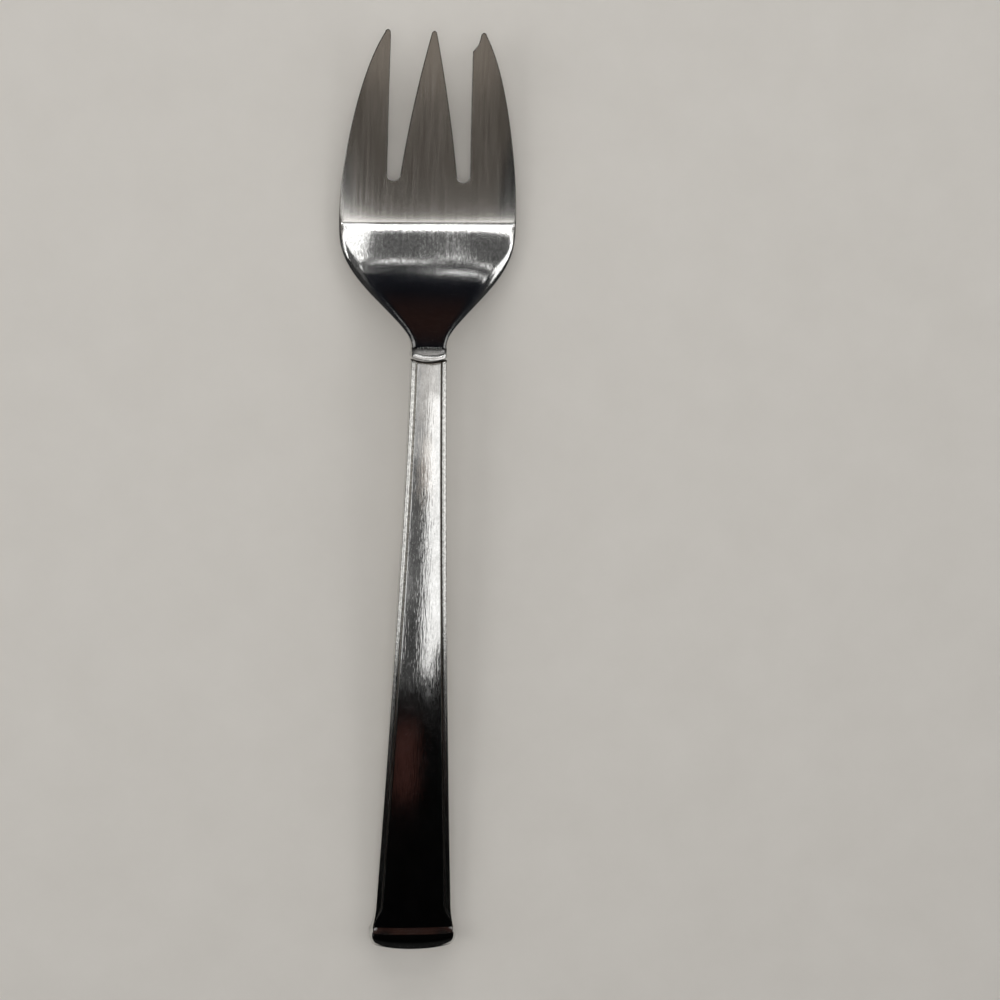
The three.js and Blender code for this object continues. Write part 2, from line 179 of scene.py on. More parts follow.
# Fineness of the head's mesh
PROFILE_STEPS = 800
FILLET_STEPS = 200
FLANK_STEPS = 60
TINE_STEPS = 60
TIP_STEPS = 14
SLOT_STEPS = 20
OUTLINE_STEP = 0.4
LEAST_OUTLINE_STEP = 0.02
GRID_STEP = 0.6
GRID_MARGIN = 0.4 * GRID_STEP
EDGE_RINGS = (0.06, 0.15, 0.28, 0.45)
CREASE_ROWS = (-0.3, -0.14, -0.07, 0.0, 0.07, 0.14, 0.3)
TRIANGLES_INSIDE_ONLY = 1
MERGE_DISTANCE = 1e-6

# Fineness of the handle's meshes
SEAM_STEPS = 800
SIDE_POINTS = 2
BEVEL_POINTS = 6
BEAD_STEPS = 8
GROOVE_STEPS = 8
PANEL_STEPS = 20
BACK_CORNER_STEPS = 10
BACK_PANEL_STEPS = 16
MOUTH_STEPS = 5
MOUTH_FADE_STEPS = 8
SHELL_STEPS = 130
COLLAR_STEPS = 12
CAP_FLARE_STEPS = 8
CAP_BODY_STEPS = 16
CAP_END_STEPS = 6
SECTION_CORNER_STEPS = 8
SECTION_EDGE_STEPS = 10

# Largest share of a section's height or half width that a corner takes up
LARGEST_CORNER = 0.48

# Angle between faces from which an edge looks sharp
SHARP_ANGLE = math.radians(40)

# Finishes of the faces, in the order of the materials on the head and on the front shell
BOWL_FINISH, BLADE_FINISH, NECK_SHADE_FINISH = range(3)
PANEL_FINISH, RIM_FINISH, PAINTED_SHADE_FINISH = range(3)

# Faces on either side of a groove's middle that are painted dark as shade in the groove
RIGHT_SHADED_FACES = 2
LEFT_SHADED_FACES = 1

OVERALL_LENGTH = (BLADE_LENGTH + HEEL_PAD_LENGTH + BOWL_LENGTH + COLLAR_LENGTH
                  + SHELL_LENGTH + CAP_LENGTH + JOINT_COUNT * JOINT_GAP)
Y_TIP = OVERALL_LENGTH / 2
Y_HEEL_FRONT = Y_TIP - BLADE_LENGTH
Y_HEEL_BACK = Y_HEEL_FRONT - HEEL_PAD_LENGTH
Y_NECK_END = Y_HEEL_BACK - BOWL_LENGTH
Y_COLLAR_FRONT = Y_NECK_END - JOINT_GAP
Y_COLLAR_BACK = Y_COLLAR_FRONT - COLLAR_LENGTH
Y_SHELL_FRONT = Y_COLLAR_BACK - JOINT_GAP
Y_SHELL_BACK = Y_SHELL_FRONT - SHELL_LENGTH
Y_CAP_FRONT = Y_SHELL_BACK - JOINT_GAP
Y_NECK_SHOWN = Y_COLLAR_FRONT + HAIRLINE
Y_SHELL_SHOWN = Y_CAP_FRONT + HAIRLINE


def lerp(a, b, share):
    return a + (b - a) * share


def clamp(value):
    return min(max(value, 0.0), 1.0)


def smooth(value, low, high):
    """Share of the way from low to high, eased at both ends."""
    share = np.clip((value - low) / (high - low), 0.0, 1.0)
    return share * share * (3 - 2 * share)


def bezier(points, steps):
    p0, p1, p2, p3 = (np.array(p, float) for p in points)
    t = np.linspace(0, 1, steps + 1)[:, None]
    return (1 - t) ** 3 * p0 + 3 * t * (1 - t) ** 2 * p1 + 3 * t * t * (1 - t) * p2 + t ** 3 * p3


def quadratic(points, steps):
    p0, p1, p2 = (np.array(p, float) for p in points)
    t = np.linspace(0, 1, steps + 1)[:, None]
    return (1 - t) ** 2 * p0 + 2 * t * (1 - t) * p1 + t * t * p2


def arc(x, y, radius, start, end, steps):
    turn = np.linspace(start, end, steps + 1)
    return np.stack([x + radius * np.cos(turn), y + radius * np.sin(turn)], 1)


def resample(points, step):
    """Points about one step apart along an open line, its ends kept."""
    lengths = np.r_[0, np.cumsum(np.linalg.norm(np.diff(points, axis=0), axis=1))]
    count = max(2, int(round(lengths[-1] / step)) + 1)
    at = np.linspace(0, lengths[-1], count)
    return np.stack([np.interp(at, lengths, points[:, k]) for k in range(points.shape[1])], 1)


def add_piece(name, mesh_data, materials, node, face_materials=None):
    """A smooth mesh, given in millimetres, that rides on the fork and stands for one of its solids."""
    vertices, faces = mesh_data
    mesh = bpy.data.meshes.new(name)
    mesh.from_pydata([tuple(v) for v in np.asarray(vertices) * MM], [], faces)
    for material in materials:
        mesh.materials.append(material)
    if face_materials is not None:
        mesh.polygons.foreach_set("material_index", face_materials)
    mesh.polygons.foreach_set("use_smooth", [True] * len(mesh.polygons))
    mesh.set_sharp_from_angle(angle=SHARP_ANGLE)
    mesh.update()
    piece = bpy.data.objects.new(name, mesh)
    bpy.context.collection.objects.link(piece)
    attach(piece, "root")
    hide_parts(node)


def loft(rings):
    """A closed skin over rings, given from front to back, its ends closed by strips."""
    size = len(rings[0])
    vertices = [point for ring in rings for point in ring]
    faces = []
    for row in range(len(rings) - 1):
        for i in range(size):
            a = row * size + i
            b = row * size + (i + 1) % size
            faces.append((a, a + size, b + size, b))
    half = size // 2
    last = (len(rings) - 1) * size
    for i in range(half // 2):
        right = (i, i + 1, half - i - 1, half - i)
        left = (half + i, half + i + 1, size - i - 1, (size - i) % size)
        for corners in (right, left):
            faces.append(corners)
            faces.append(tuple(last + c for c in reversed(corners)))
    return vertices, faces


def channel(rows):
    """A closed channel over rows, each an outer and an inner line of equal length."""
    size = len(rows[0][0])
    vertices = [point for row in rows for line in row for point in line]
    faces = []
    last = len(rows) - 1
    end = size - 1

    def at(row, side, i):
        return row * 2 * size + side * size + i

    for row in range(last):
        for i in range(end):
            faces.append((at(row, 0, i), at(row, 0, i + 1), at(row + 1, 0, i + 1), at(row + 1, 0, i)))
            faces.append((at(row, 1, i), at(row + 1, 1, i), at(row + 1, 1, i + 1), at(row, 1, i + 1)))
        faces.append((at(row, 0, 0), at(row + 1, 0, 0), at(row + 1, 1, 0), at(row, 1, 0)))
        faces.append((at(row, 0, end), at(row, 1, end), at(row + 1, 1, end), at(row + 1, 0, end)))
    for i in range(end):
        faces.append((at(0, 0, i), at(0, 1, i), at(0, 1, i + 1), at(0, 0, i + 1)))
        faces.append((at(last, 0, i), at(last, 0, i + 1), at(last, 1, i + 1), at(last, 1, i)))
    return vertices, faces


def rounded_section(half_width, top, bottom, radius):
    """Closed ring of (x, z) points, from the middle of the top round by +X."""
    corner = min(radius, LARGEST_CORNER * (top - bottom), LARGEST_CORNER * half_width)
    flat = half_width - corner
    turns = [i / SECTION_CORNER_STEPS * math.pi / 2 for i in range(SECTION_CORNER_STEPS + 1)]
    right = [(flat * i / SECTION_EDGE_STEPS, top) for i in range(SECTION_EDGE_STEPS + 1)]
    for turn in turns[1:]:
        right.append((flat + corner * math.sin(turn), top - corner + corner * math.cos(turn)))
    for turn in turns[:-1]:
        right.append((flat + corner * math.cos(turn), bottom + corner - corner * math.sin(turn)))
    right += [(flat * i / SECTION_EDGE_STEPS, bottom) for i in range(SECTION_EDGE_STEPS, -1, -1)]
    return right + [(-x, z) for x, z in reversed(right[1:-1])]


# Handle lines

SEAM_LINE = bezier([
    (Y_SHELL_FRONT, SEAM_AT_NECK),
    (Y_SHELL_FRONT - SEAM_NECK_RUN, SEAM_AT_NECK + SEAM_NECK_RISE),
    (Y_SHELL_BACK + SEAM_BUTT_RUN, SEAM_AT_BUTT + SEAM_BUTT_RISE),
    (Y_SHELL_BACK, SEAM_AT_BUTT)], SEAM_STEPS)[::-1]


def seam_height(y):
    if y >= Y_SHELL_FRONT:
        return SEAM_AT_NECK + (Y_SHELL_FRONT - y) * SEAM_NECK_RISE / SEAM_NECK_RUN
    if y <= Y_SHELL_BACK:
        return SEAM_AT_BUTT - (Y_SHELL_BACK - y) * SEAM_BUTT_RISE / SEAM_BUTT_RUN
    return float(np.interp(y, SEAM_LINE[:, 0], SEAM_LINE[:, 1]))


def handle_section(y):
    """The handle at y: seam height, half width, rise over the seam, depth under it and the rims' share."""
    along = clamp((Y_SHELL_FRONT - y) / SHELL_LENGTH)
    flare = clamp((Y_SHELL_BACK + BUTT_FLARE_LENGTH - y) / BUTT_FLARE_LENGTH)
    width = lerp(HANDLE_NECK_HALF_WIDTH, HANDLE_BUTT_HALF_WIDTH, along ** HANDLE_FLARE)
    y_rim_end = Y_SHELL_BACK + RIM_RUN_OUT
    fade = float(smooth(y, y_rim_end, y_rim_end + RIM_TAPER_LENGTH))
    return {
        "seam": seam_height(y),
        "half_width": width + BUTT_FLARE * flare ** 2,
        "rise": lerp(FRONT_RISE_AT_NECK, FRONT_RISE_AT_BUTT, along),
        "depth": lerp(BACK_DEPTH_AT_NECK, BACK_DEPTH_AT_BUTT, along),
        "rim": lerp(RIM_AT_NECK, 1.0, along) * lerp(RIM_LEAST, 1.0, fade),
    }


def joint_setback(x, half_width):
    """How far the bowed joint at the neck lies back, most at its middle and not at all at its ends."""
    return JOINT_SAG * (1 - min(1.0, abs(x) / half_width) ** 2)


# Head

def flank(side, tip_x):
    """The outer edge on one side, from the neck up to the tip."""
    y_widest = Y_TIP - WIDEST_FROM_TIP
    y_shoulder = Y_TIP - SHOULDER_FROM_TIP
    tip_radius = TINE_TIP_WIDTH / 2
    y_tip_centre = Y_TIP - tip_radius
    stops = [
        (NECK_HALF_WIDTH, Y_NECK_END),
        (NECK_HALF_WIDTH, Y_NECK_END + NECK_STRAIGHT),
        (SHOULDER_HALF_WIDTH - FLARE_RUN, y_shoulder - FLARE_RUN),
        (SHOULDER_HALF_WIDTH, y_shoulder),
        (SHOULDER_HALF_WIDTH + SHOULDER_RUN, y_shoulder + SHOULDER_RUN),
        (BOWL_HALF_WIDTH, y_widest - SHOULDER_REACH),
        (BOWL_HALF_WIDTH, y_widest),
        (BOWL_HALF_WIDTH, y_widest + BLADE_FLANK_REACH),
        (tip_x + tip_radius + TIP_FLANK_RUN, y_tip_centre - TIP_FLANK_RISE),
        (tip_x + tip_radius, y_tip_centre)]
    neck, *others = [bezier(stops[i:i + 4], FLANK_STEPS) for i in range(0, len(stops) - 1, 3)]
    line = [neck] + [curve[1:] for curve in others]
    return np.concatenate([[(NECK_HALF_WIDTH, Y_NECK_SHOWN)], *line]) * (side, 1)


def head_edge():
    """The cut edge from the neck's right corner round the tines to its left, and the bowed neck end."""
    tip_radius = TINE_TIP_WIDTH / 2
    y_tip_centre = Y_TIP - tip_radius
    slot_radius = (SLOT_OUTER_X - SLOT_INNER_X) / 2
    slot_x = (SLOT_OUTER_X + SLOT_INNER_X) / 2
    y_slot = Y_TIP - TINE_LENGTH + slot_radius
    y_swell = (y_slot + y_tip_centre) / 2
    swell_x = (SLOT_INNER_X + tip_radius) / 2 + MIDDLE_TINE_SWELL
    y_nick = Y_TIP - NICK_LENGTH
    nick = np.array([(RIGHT_TIP_X - tip_radius, y_tip_centre),
                     (RIGHT_SLOT_TIP_X + NICK_STEP_DEPTH, y_nick + NICK_STEP_LENGTH),
                     (RIGHT_SLOT_TIP_X, y_nick)])
    right_slot_side = np.array([(RIGHT_SLOT_TIP_X, y_nick), (SLOT_OUTER_X, y_slot)])
    left_slot_side = np.array([(-SLOT_OUTER_X, y_slot),
                               (-LEFT_SLOT_TIP_X, y_tip_centre - tip_radius),
                               (-LEFT_TIP_X + tip_radius, y_tip_centre)])
    tine_edge = quadratic([(SLOT_INNER_X, y_slot),
                           (swell_x, y_swell),
                           (tip_radius, y_tip_centre)], TINE_STEPS)

    def tip(x):
        return arc(x, y_tip_centre, tip_radius, 0, math.pi, TIP_STEPS)

    def slot_end(x):
        return arc(x, y_slot, slot_radius, 0, -math.pi, SLOT_STEPS)

    cut = np.concatenate([
        resample(flank(1, RIGHT_TIP_X), OUTLINE_STEP),
        tip(RIGHT_TIP_X),
        resample(nick, OUTLINE_STEP),
        resample(right_slot_side, OUTLINE_STEP),
        slot_end(slot_x),
        resample(tine_edge, OUTLINE_STEP),
        tip(0.0),
        resample(tine_edge[::-1] * (-1, 1), OUTLINE_STEP),
        slot_end(-slot_x),
        resample(left_slot_side, OUTLINE_STEP),
        tip(-LEFT_TIP_X),
        resample(flank(-1, LEFT_TIP_X)[::-1], OUTLINE_STEP)])
    steps = np.linalg.norm(np.diff(cut, axis=0, prepend=cut[:1] - 1), axis=1)
    end_x = np.arange(-NECK_HALF_WIDTH, NECK_HALF_WIDTH, OUTLINE_STEP)[1:]
    end_y = [Y_NECK_SHOWN - joint_setback(x, NECK_HALF_WIDTH) for x in end_x]
    return cut[steps > LEAST_OUTLINE_STEP], np.stack([end_x, end_y], 1)


def head_underside():
    """The profile under the head's middle as (y, z) points, from the neck to the tips."""
    blade = bezier([
        (Y_TIP, TIP_LIFT),
        (Y_TIP - TIP_LIFT_RUN, TIP_LIFT - TIP_LIFT_RISE),
        (Y_HEEL_FRONT + BLADE_FLAT_REACH, 0),
        (Y_HEEL_FRONT, 0)], PROFILE_STEPS)
    y_ramp = Y_NECK_END + NECK_FILLET
    z_ramp = NECK_LIFT - RAMP_SLOPE * NECK_FILLET / 2
    bowl = bezier([
        (Y_HEEL_BACK, 0),
        (Y_HEEL_BACK - BOWL_FLAT_REACH, 0),
        (y_ramp + RAMP_RUN, z_ramp - RAMP_SLOPE * RAMP_RUN),
        (y_ramp, z_ramp)], PROFILE_STEPS)
    fillet = quadratic([
        (y_ramp, z_ramp),
        (Y_NECK_END + NECK_FILLET / 2, NECK_LIFT),
        (Y_NECK_END, NECK_LIFT)], FILLET_STEPS)
    return np.concatenate([blade, bowl, fillet[1:]])[::-1]


HEAD_UNDERSIDE = head_underside()


def head_thickness(y):
    blade = lerp(BOWL_THICKNESS, TIP_THICKNESS, smooth(y, Y_HEEL_FRONT, Y_TIP))
    bowl = lerp(NECK_THICKNESS, BOWL_THICKNESS, smooth(y, Y_NECK_END, Y_HEEL_BACK))
    return np.where(y > Y_HEEL_FRONT, blade, bowl)


def level_with_heel(x, y):
    """The place along the head's profile, which is turned a little about the heel."""
    return y - HEEL_TILT * x * (1 - smooth(np.abs(y - CREASE_Y), 0, HEEL_TILT_REACH))


def dish_lift(x, y):
    """How far the head's sides rise over its middle, most at the heel."""
    y_dish = (Y_HEEL_FRONT + Y_HEEL_BACK) / 2
    reach = np.where(y > y_dish, BLADE_DISH_REACH, BOWL_DISH_REACH)
    along = 1 - smooth(np.abs(y - y_dish), 0, reach)
    out = np.maximum(0, np.abs(x) - HEEL_PAD_HALF_WIDTH) / (BOWL_HALF_WIDTH - HEEL_PAD_HALF_WIDTH)
    return DISH_DEPTH * along * out ** DISH_CURVE


def heel_kick(x, y):
    """The blade turns up softly from the crease, less so towards its left edge."""
    ahead = np.maximum(0, level_with_heel(x, y) - CREASE_Y)
    run = ahead ** 2 / (ahead + HEEL_KICK_SOFTNESS)
    slope = HEEL_KICK - HEEL_KICK_TURN * np.maximum(0, -x / BOWL_HALF_WIDTH) ** 2
    return slope * run * (1 - smooth(ahead, 0, HEEL_KICK_REACH))


def head_bottom(x, y):
    profile = np.interp(level_with_heel(x, y), HEAD_UNDERSIDE[:, 0], HEAD_UNDERSIDE[:, 1])
    return profile + dish_lift(x, y) + heel_kick(x, y)


def crease_drop(x, y):
    """The fine line pressed across the heel, deeper at its left end."""
    depth = lerp(CREASE_DEPTH_LEFT, CREASE_DEPTH_RIGHT, smooth(x, -BOWL_HALF_WIDTH / 2, 0))
    return depth * np.maximum(0, 1 - np.abs(level_with_heel(x, y) - CREASE_Y) / CREASE_HALF_WIDTH)


def rounding(distance, width, drop):
    """How far a surface falls near an edge that is rounded over as a quarter ellipse."""
    share = np.clip(1 - distance / width, 0, 1)
    return drop * (1 - np.sqrt(1 - share * share))


def edge_distance(points, line):
    """Distance of each point to an open line."""
    best = np.full(len(points), np.inf)
    for a, b in zip(line[:-1], line[1:]):
        d = b - a
        share = np.clip(((points - a) @ d) / (d @ d), 0, 1)
        best = np.minimum(best, np.linalg.norm(points - a - share[:, None] * d, axis=1))
    return best


def inside(points, outline):
    """Which points lie within a closed outline."""
    result = np.zeros(len(points), bool)
    for (ax, ay), (bx, by) in zip(outline, np.roll(outline, -1, axis=0)):
        if ay == by:
            continue
        crosses = (ay > points[:, 1]) != (by > points[:, 1])
        at = ax + (points[:, 1] - ay) * (bx - ax) / (by - ay)
        result ^= crosses & (points[:, 0] < at)
    return result


def unit_normals(steps):
    """Directions of length one to the left of each step."""
    return np.stack([-steps[:, 1], steps[:, 0]], 1) / np.linalg.norm(steps, axis=1)[:, None]


def head_plan():
    """The head from above: its points, its triangles, the points on its outline and its cut edge."""
    cut, neck_end = head_edge()
    outline = np.concatenate([cut, neck_end])
    count = len(outline)
    ahead = np.roll(outline, -1, axis=0) - outline
    behind = outline - np.roll(outline, 1, axis=0)
    inward = unit_normals(ahead) + unit_normals(behind)
    inward /= np.linalg.norm(inward, axis=1)[:, None]
    rings = [outline + inward * distance for distance in EDGE_RINGS]
    xs = np.arange(-BOWL_HALF_WIDTH, BOWL_HALF_WIDTH, GRID_STEP)
    ys = np.arange(Y_NECK_END - JOINT_SAG, Y_TIP, GRID_STEP)
    ys = np.r_[ys[np.abs(ys - CREASE_Y) > GRID_STEP], CREASE_Y + np.array(CREASE_ROWS)]
    grid = np.stack(np.meshgrid(xs, ys), -1).reshape(-1, 2)
    grid[:, 1] += grid[:, 1] - level_with_heel(grid[:, 0], grid[:, 1])
    grid = grid[inside(grid, outline)]
    closed = np.concatenate([outline, outline[:1]])
    grid = grid[edge_distance(grid, closed) > EDGE_RINGS[-1] + GRID_MARGIN]
    plan = np.concatenate([outline, *rings, grid])
    edges = []
    for ring in range(len(rings) + 1):
        edges += [(ring * count + i, ring * count + (i + 1) % count) for i in range(count)]
    corners, _, triangles, sources, _, _ = delaunay_2d_cdt(
        [Vector(p) for p in plan], edges, [tuple(range(count))], TRIANGLES_INSIDE_ONLY, MERGE_DISTANCE)
    points = np.array([tuple(corner) for corner in corners])
    place = {old: new for new, olds in enumerate(sources) for old in olds}
    return points, triangles, [place[i] for i in range(count)], cut


def head_mesh():
    """The head's vertices and faces, and the finish of each face."""
    points, triangles, rim, cut = head_plan()
    x, y = points.T
    distance = edge_distance(points, cut)
    width = np.interp(y, EDGE_PLACES, EDGE_WIDTHS)
    drop = np.interp(y, EDGE_PLACES, EDGE_DROPS)
    top = head_bottom(x, y) + head_thickness(y) - crease_drop(x, y) - rounding(distance, width, drop)
    bottom = head_bottom(x, y) + rounding(distance, UNDER_EDGE_WIDTH, UNDER_EDGE_DROP)
    vertices = np.concatenate([np.stack([x, y, top], 1), np.stack([x, y, bottom], 1)])
    size = len(points)
    faces = [tuple(t) for t in triangles]
    faces += [tuple(size + i for i in reversed(t)) for t in triangles]
    for here, there in zip(rim, rim[1:] + rim[:1]):
        faces.append((here, size + here, size + there, there))
    centres = np.array([vertices[list(face)].mean(axis=0) for face in faces])
    on_blade = level_with_heel(centres[:, 0], centres[:, 1]) > CREASE_Y
    finish = np.where(on_blade, BLADE_FINISH, BOWL_FINISH)
    # The neck's last stretch takes the steel with the painted shade gradient
    finish[centres[:, 1] < Y_NECK_END + SHADED_NECK_LENGTH] = NECK_SHADE_FINISH
    # The side walls take the bowl's steel instead of the blade's, whose tone is darkened as painted shade
    finish[-len(rim):] = BOWL_FINISH
    return (vertices, faces), finish


# Handle pieces

def front_profile(section):
    """Right half of the front's outer line as (x, height above the seam), and its shoulder's height."""
    half_width = section["half_width"]
    rise = section["rise"]
    rim = section["rim"]
    bead = BEAD_WIDTH * rim
    groove = GROOVE_WIDTH * rim
    panel_half = half_width - EDGE_BEVEL - bead - groove
    crown = PANEL_EDGE_SLOPE * panel_half / 2
    shoulder = rise - crown
    x_bevel = half_width - EDGE_BEVEL
    points = [(half_width, HAIRLINE / 2), (half_width, (shoulder - EDGE_BEVEL) / 2)]
    for turn in np.linspace(0, math.pi / 2, BEVEL_POINTS):
        fall = EDGE_BEVEL * (1 - math.sin(turn))
        points.append((x_bevel + EDGE_BEVEL * math.cos(turn), shoulder - fall))
    for share in np.linspace(0, 1, BEAD_STEPS + 1)[1:]:
        swell = BEAD_HEIGHT * rim * math.sin(math.pi * share)
        points.append((x_bevel - bead * share, shoulder + swell))
    for share in np.linspace(0, 1, GROOVE_STEPS + 1)[1:]:
        dip = GROOVE_DEPTH * rim * math.sin(math.pi * share) ** 2
        points.append((x_bevel - bead - groove * share, shoulder - dip))
    for share in np.linspace(1, 0, PANEL_STEPS + 1)[1:]:
        points.append((panel_half * share, rise - crown * share ** 2))
    return points, shoulder


def back_profile(section):
    """Right half of the back's outer line as (x, depth below the seam), and its shoulder's depth."""
    half_width = section["half_width"]
    depth = section["depth"]
    shoulder = depth - BACK_CROWN
    radius = min(BACK_CORNER_RADIUS, shoulder / 2)
    points = [(half_width, HAIRLINE / 2)]
    for turn in np.linspace(0, math.pi / 2, BACK_CORNER_STEPS + 1):
        fall = radius * (1 - math.sin(turn))
        points.append((half_width - radius * (1 - math.cos(turn)), shoulder - fall))
    flat = half_width - radius
    for share in np.linspace(1, 0, BACK_PANEL_STEPS + 1)[1:]:
        points.append((flat * share, depth - BACK_CROWN * share ** 2))
    return points, shoulder


def inner_profile(size, half_width, shoulder):
    """Right half of a shell's inner line, of a given count of points."""
    x_wall = half_width - SHELL_WALL
    x_roof = x_wall - SHELL_INNER_CORNER
    roof = shoulder - SHELL_WALL
    side = [(x_wall, HAIRLINE / 2), (x_wall, roof - SHELL_INNER_CORNER)]
    return side + [(x_roof * share, roof) for share in np.linspace(1, 0, size - len(side))]


def shell_row(y, profile, side, curved, inset):
    """Outer and inner line of a shell at y, set back along the bowed joint and drawn in by an inset."""
    section = handle_section(y)
    half_width = section["half_width"]
    outer, shoulder = profile(section)
    inner = inner_profile(len(outer), half_width, shoulder)
    shrink = 1 - inset / half_width
    outer = [(x * shrink, max(HAIRLINE / 2, height - inset)) for x, height in outer]
    rows = []
    for half in (outer, inner):
        whole = half + [(-x, height) for x, height in reversed(half[:-1])]
        line = []
        for x, height in whole:
            setback = curved * joint_setback(x, half_width)
            line.append((x, y - setback, section["seam"] + side * height))
        rows.append(line if side > 0 else line[::-1])
    return rows


def shell_mesh(profile, side):
    """A half of the handle with a rounded, bowed mouth, over the seam for side 1 and under it for -1."""
    rows = []
    for share in np.linspace(0, 1, MOUTH_STEPS + 1):
        inset = MOUTH_ROUND * (1 - math.sqrt(1 - (1 - share) ** 2))
        rows.append(shell_row(Y_SHELL_FRONT - MOUTH_ROUND * share, profile, side, 1.0, inset))
    y_mouth = Y_SHELL_FRONT - MOUTH_ROUND
    for share in np.linspace(0, 1, MOUTH_FADE_STEPS + 1)[1:]:
        rows.append(shell_row(y_mouth - MOUTH_FADE * share, profile, side, 1 - share, 0.0))
    y_straight = y_mouth - MOUTH_FADE
    for share in np.linspace(0, 1, SHELL_STEPS + 1)[1:]:
        rows.append(shell_row(lerp(y_straight, Y_SHELL_SHOWN, share), profile, side, 0.0, 0.0))
    return channel(rows)


def front_finish(size):
    """The finish of each face of the front shell, whose outer line has a given count of points."""
    groove_from = SIDE_POINTS + BEVEL_POINTS - 1 + BEAD_STEPS
    groove_middle = groove_from + GROOVE_STEPS // 2
    across = []
    for i in range(size - 1):
        from_side = min(i, size - 2 - i)
        dark = RIGHT_SHADED_FACES if i == from_side else LEFT_SHADED_FACES
        # Faces at a groove's middle get painted shade, the rims the steel toned lighter as painted
        # highlight, the rest the panel's steel
        if groove_middle - dark <= from_side < groove_middle + dark:
            outside = PAINTED_SHADE_FINISH
        elif SIDE_POINTS <= from_side < groove_from + GROOVE_STEPS:
            outside = RIM_FINISH
        else:
            outside = PANEL_FINISH
        across += [outside, PANEL_FINISH]
    seams = [PANEL_FINISH, PANEL_FINISH]
    # The rounded mouth's outer faces and its front end are painted dark as shade where the shell meets the
    # collar
    mouth = [PAINTED_SHADE_FINISH, PANEL_FINISH] * (size - 1)
    return (mouth + seams) * MOUTH_STEPS + (across + seams) * (MOUTH_FADE_STEPS + SHELL_STEPS) + mouth


def collar_mesh():
    rings = []
    for turn in np.linspace(0, math.pi, COLLAR_STEPS + 1):
        y = lerp(Y_COLLAR_FRONT, Y_COLLAR_BACK, (1 - math.cos(turn)) / 2)
        inset = COLLAR_ROUND * (1 - math.sin(turn))
        section = handle_section(y)
        half_width = section["half_width"] + COLLAR_PROUD - inset
        top = section["seam"] + section["rise"] + COLLAR_PROUD - inset
        bottom = section["seam"] - section["depth"] - COLLAR_PROUD + inset
        ring = rounded_section(half_width, top, bottom, COLLAR_CORNER_RADIUS)
        rings.append([(x, y - joint_setback(x, half_width), z) for x, z in ring])
    return loft(rings)


def spigot_ring(y):
    """A ring at y that clears the inside of the shells."""
    section = handle_section(y)
    crown = PANEL_EDGE_SLOPE * section["half_width"] / 2
    top = section["seam"] + section["rise"] - crown - SHELL_WALL - SPIGOT_CLEARANCE
    bottom = section["seam"] - section["depth"] + BACK_CROWN + SHELL_WALL + SPIGOT_CLEARANCE
    half_width = section["half_width"] - SHELL_WALL - SPIGOT_CLEARANCE
    return [(x, y, z) for x, z in rounded_section(half_width, top, bottom, SPIGOT_CORNER_RADIUS)]


def cap_mesh():
    """The butt: a spigot, a flare up to the lip's crest, the lip's falling back and its rounded end."""
    joint = handle_section(Y_SHELL_BACK)
    top = joint["seam"] + joint["rise"]
    bottom = joint["seam"] - joint["depth"]
    crest_half_width = joint["half_width"] + CAP_FLARE
    crest_top = top + LIP_RISE
    middle = crest_top / 2
    round_length = CAP_LENGTH - LIP_CREST_FROM - CAP_PAD_LENGTH
    panel_crown = PANEL_EDGE_SLOPE * joint["half_width"] / 2

    def ring(back, half_width, high, low, sag,
             crown=0.0, end_fall=LIP_END_FALL, corner=CAP_CORNER_RADIUS):
        points = []
        for x, z in rounded_section(half_width, high, low, corner):
            across = (x / crest_half_width) ** 2
            fall = crown * across + end_fall * across ** LIP_END_CURVE
            points.append((x, Y_CAP_FRONT - back + sag * across, z - fall * (z > middle)))
        return points

    rings = [spigot_ring(Y_CAP_FRONT + SPIGOT_LENGTH + JOINT_GAP), spigot_ring(Y_CAP_FRONT)]
    for share in np.linspace(0, 1, CAP_FLARE_STEPS + 1):
        half_width = lerp(joint["half_width"], crest_half_width, share ** CAP_FLARE_CURVE)
        high = lerp(top, crest_top, share)
        low = lerp(bottom, 0, share)
        sag = CAP_CREST_SAG * share ** 2
        rings.append(ring(share * LIP_CREST_FROM, half_width, high, low, sag,
                          crown=panel_crown * (1 - share),
                          end_fall=LIP_END_FALL * share,
                          corner=lerp(EDGE_BEVEL, CAP_CORNER_RADIUS, share)))
    for share in np.linspace(0, 1, CAP_BODY_STEPS + 1):
        half = middle - CAP_END_DROP * share ** 2
        half_width = crest_half_width - CAP_END_CORNER * share ** 2
        back = LIP_CREST_FROM + CAP_PAD_LENGTH + (round_length - CAP_END_ROUND) * share
        sag = lerp(CAP_CREST_SAG, CAP_END_SAG, share)
        rings.append(ring(back, half_width, middle + half, middle - half, sag))
    for turn in np.linspace(0, math.pi / 2, CAP_END_STEPS + 1)[1:]:
        inset = CAP_END_ROUND * (1 - math.cos(turn))
        half = middle - CAP_END_DROP - inset
        half_width = crest_half_width - CAP_END_CORNER - inset
        back = CAP_LENGTH - CAP_END_ROUND * (1 - math.sin(turn))
        rings.append(ring(back, half_width, middle + half, middle - half, CAP_END_SAG))
    return loft(rings)


# Materials

# Noise patterns over the steel, with a scale per axis
GRAIN = {"scale": (5200, 260, 900), "detail": 3.0}
STREAKS = {"scale": (1500, 45, 300), "detail": 4.0}
SPECKLES = {"scale": (2400, 1300, 2400), "detail": 2.0}
BLASTING = {"scale": (2400, 2000, 2400), "detail": 2.0}
CLOUDS = {"scale": (300, 150, 300), "detail": 5.0, "fine": 0.9}
SCRATCHES = {"scale": (2800, 260, 900), "detail": 2.0}
WAVES = {"scale": (160, 50, 160), "detail": 2.0}
MOTTLE_DETAIL = 6.0
SCRATCH_TURN = 0.6
WAVE_HEIGHT = 4e-5

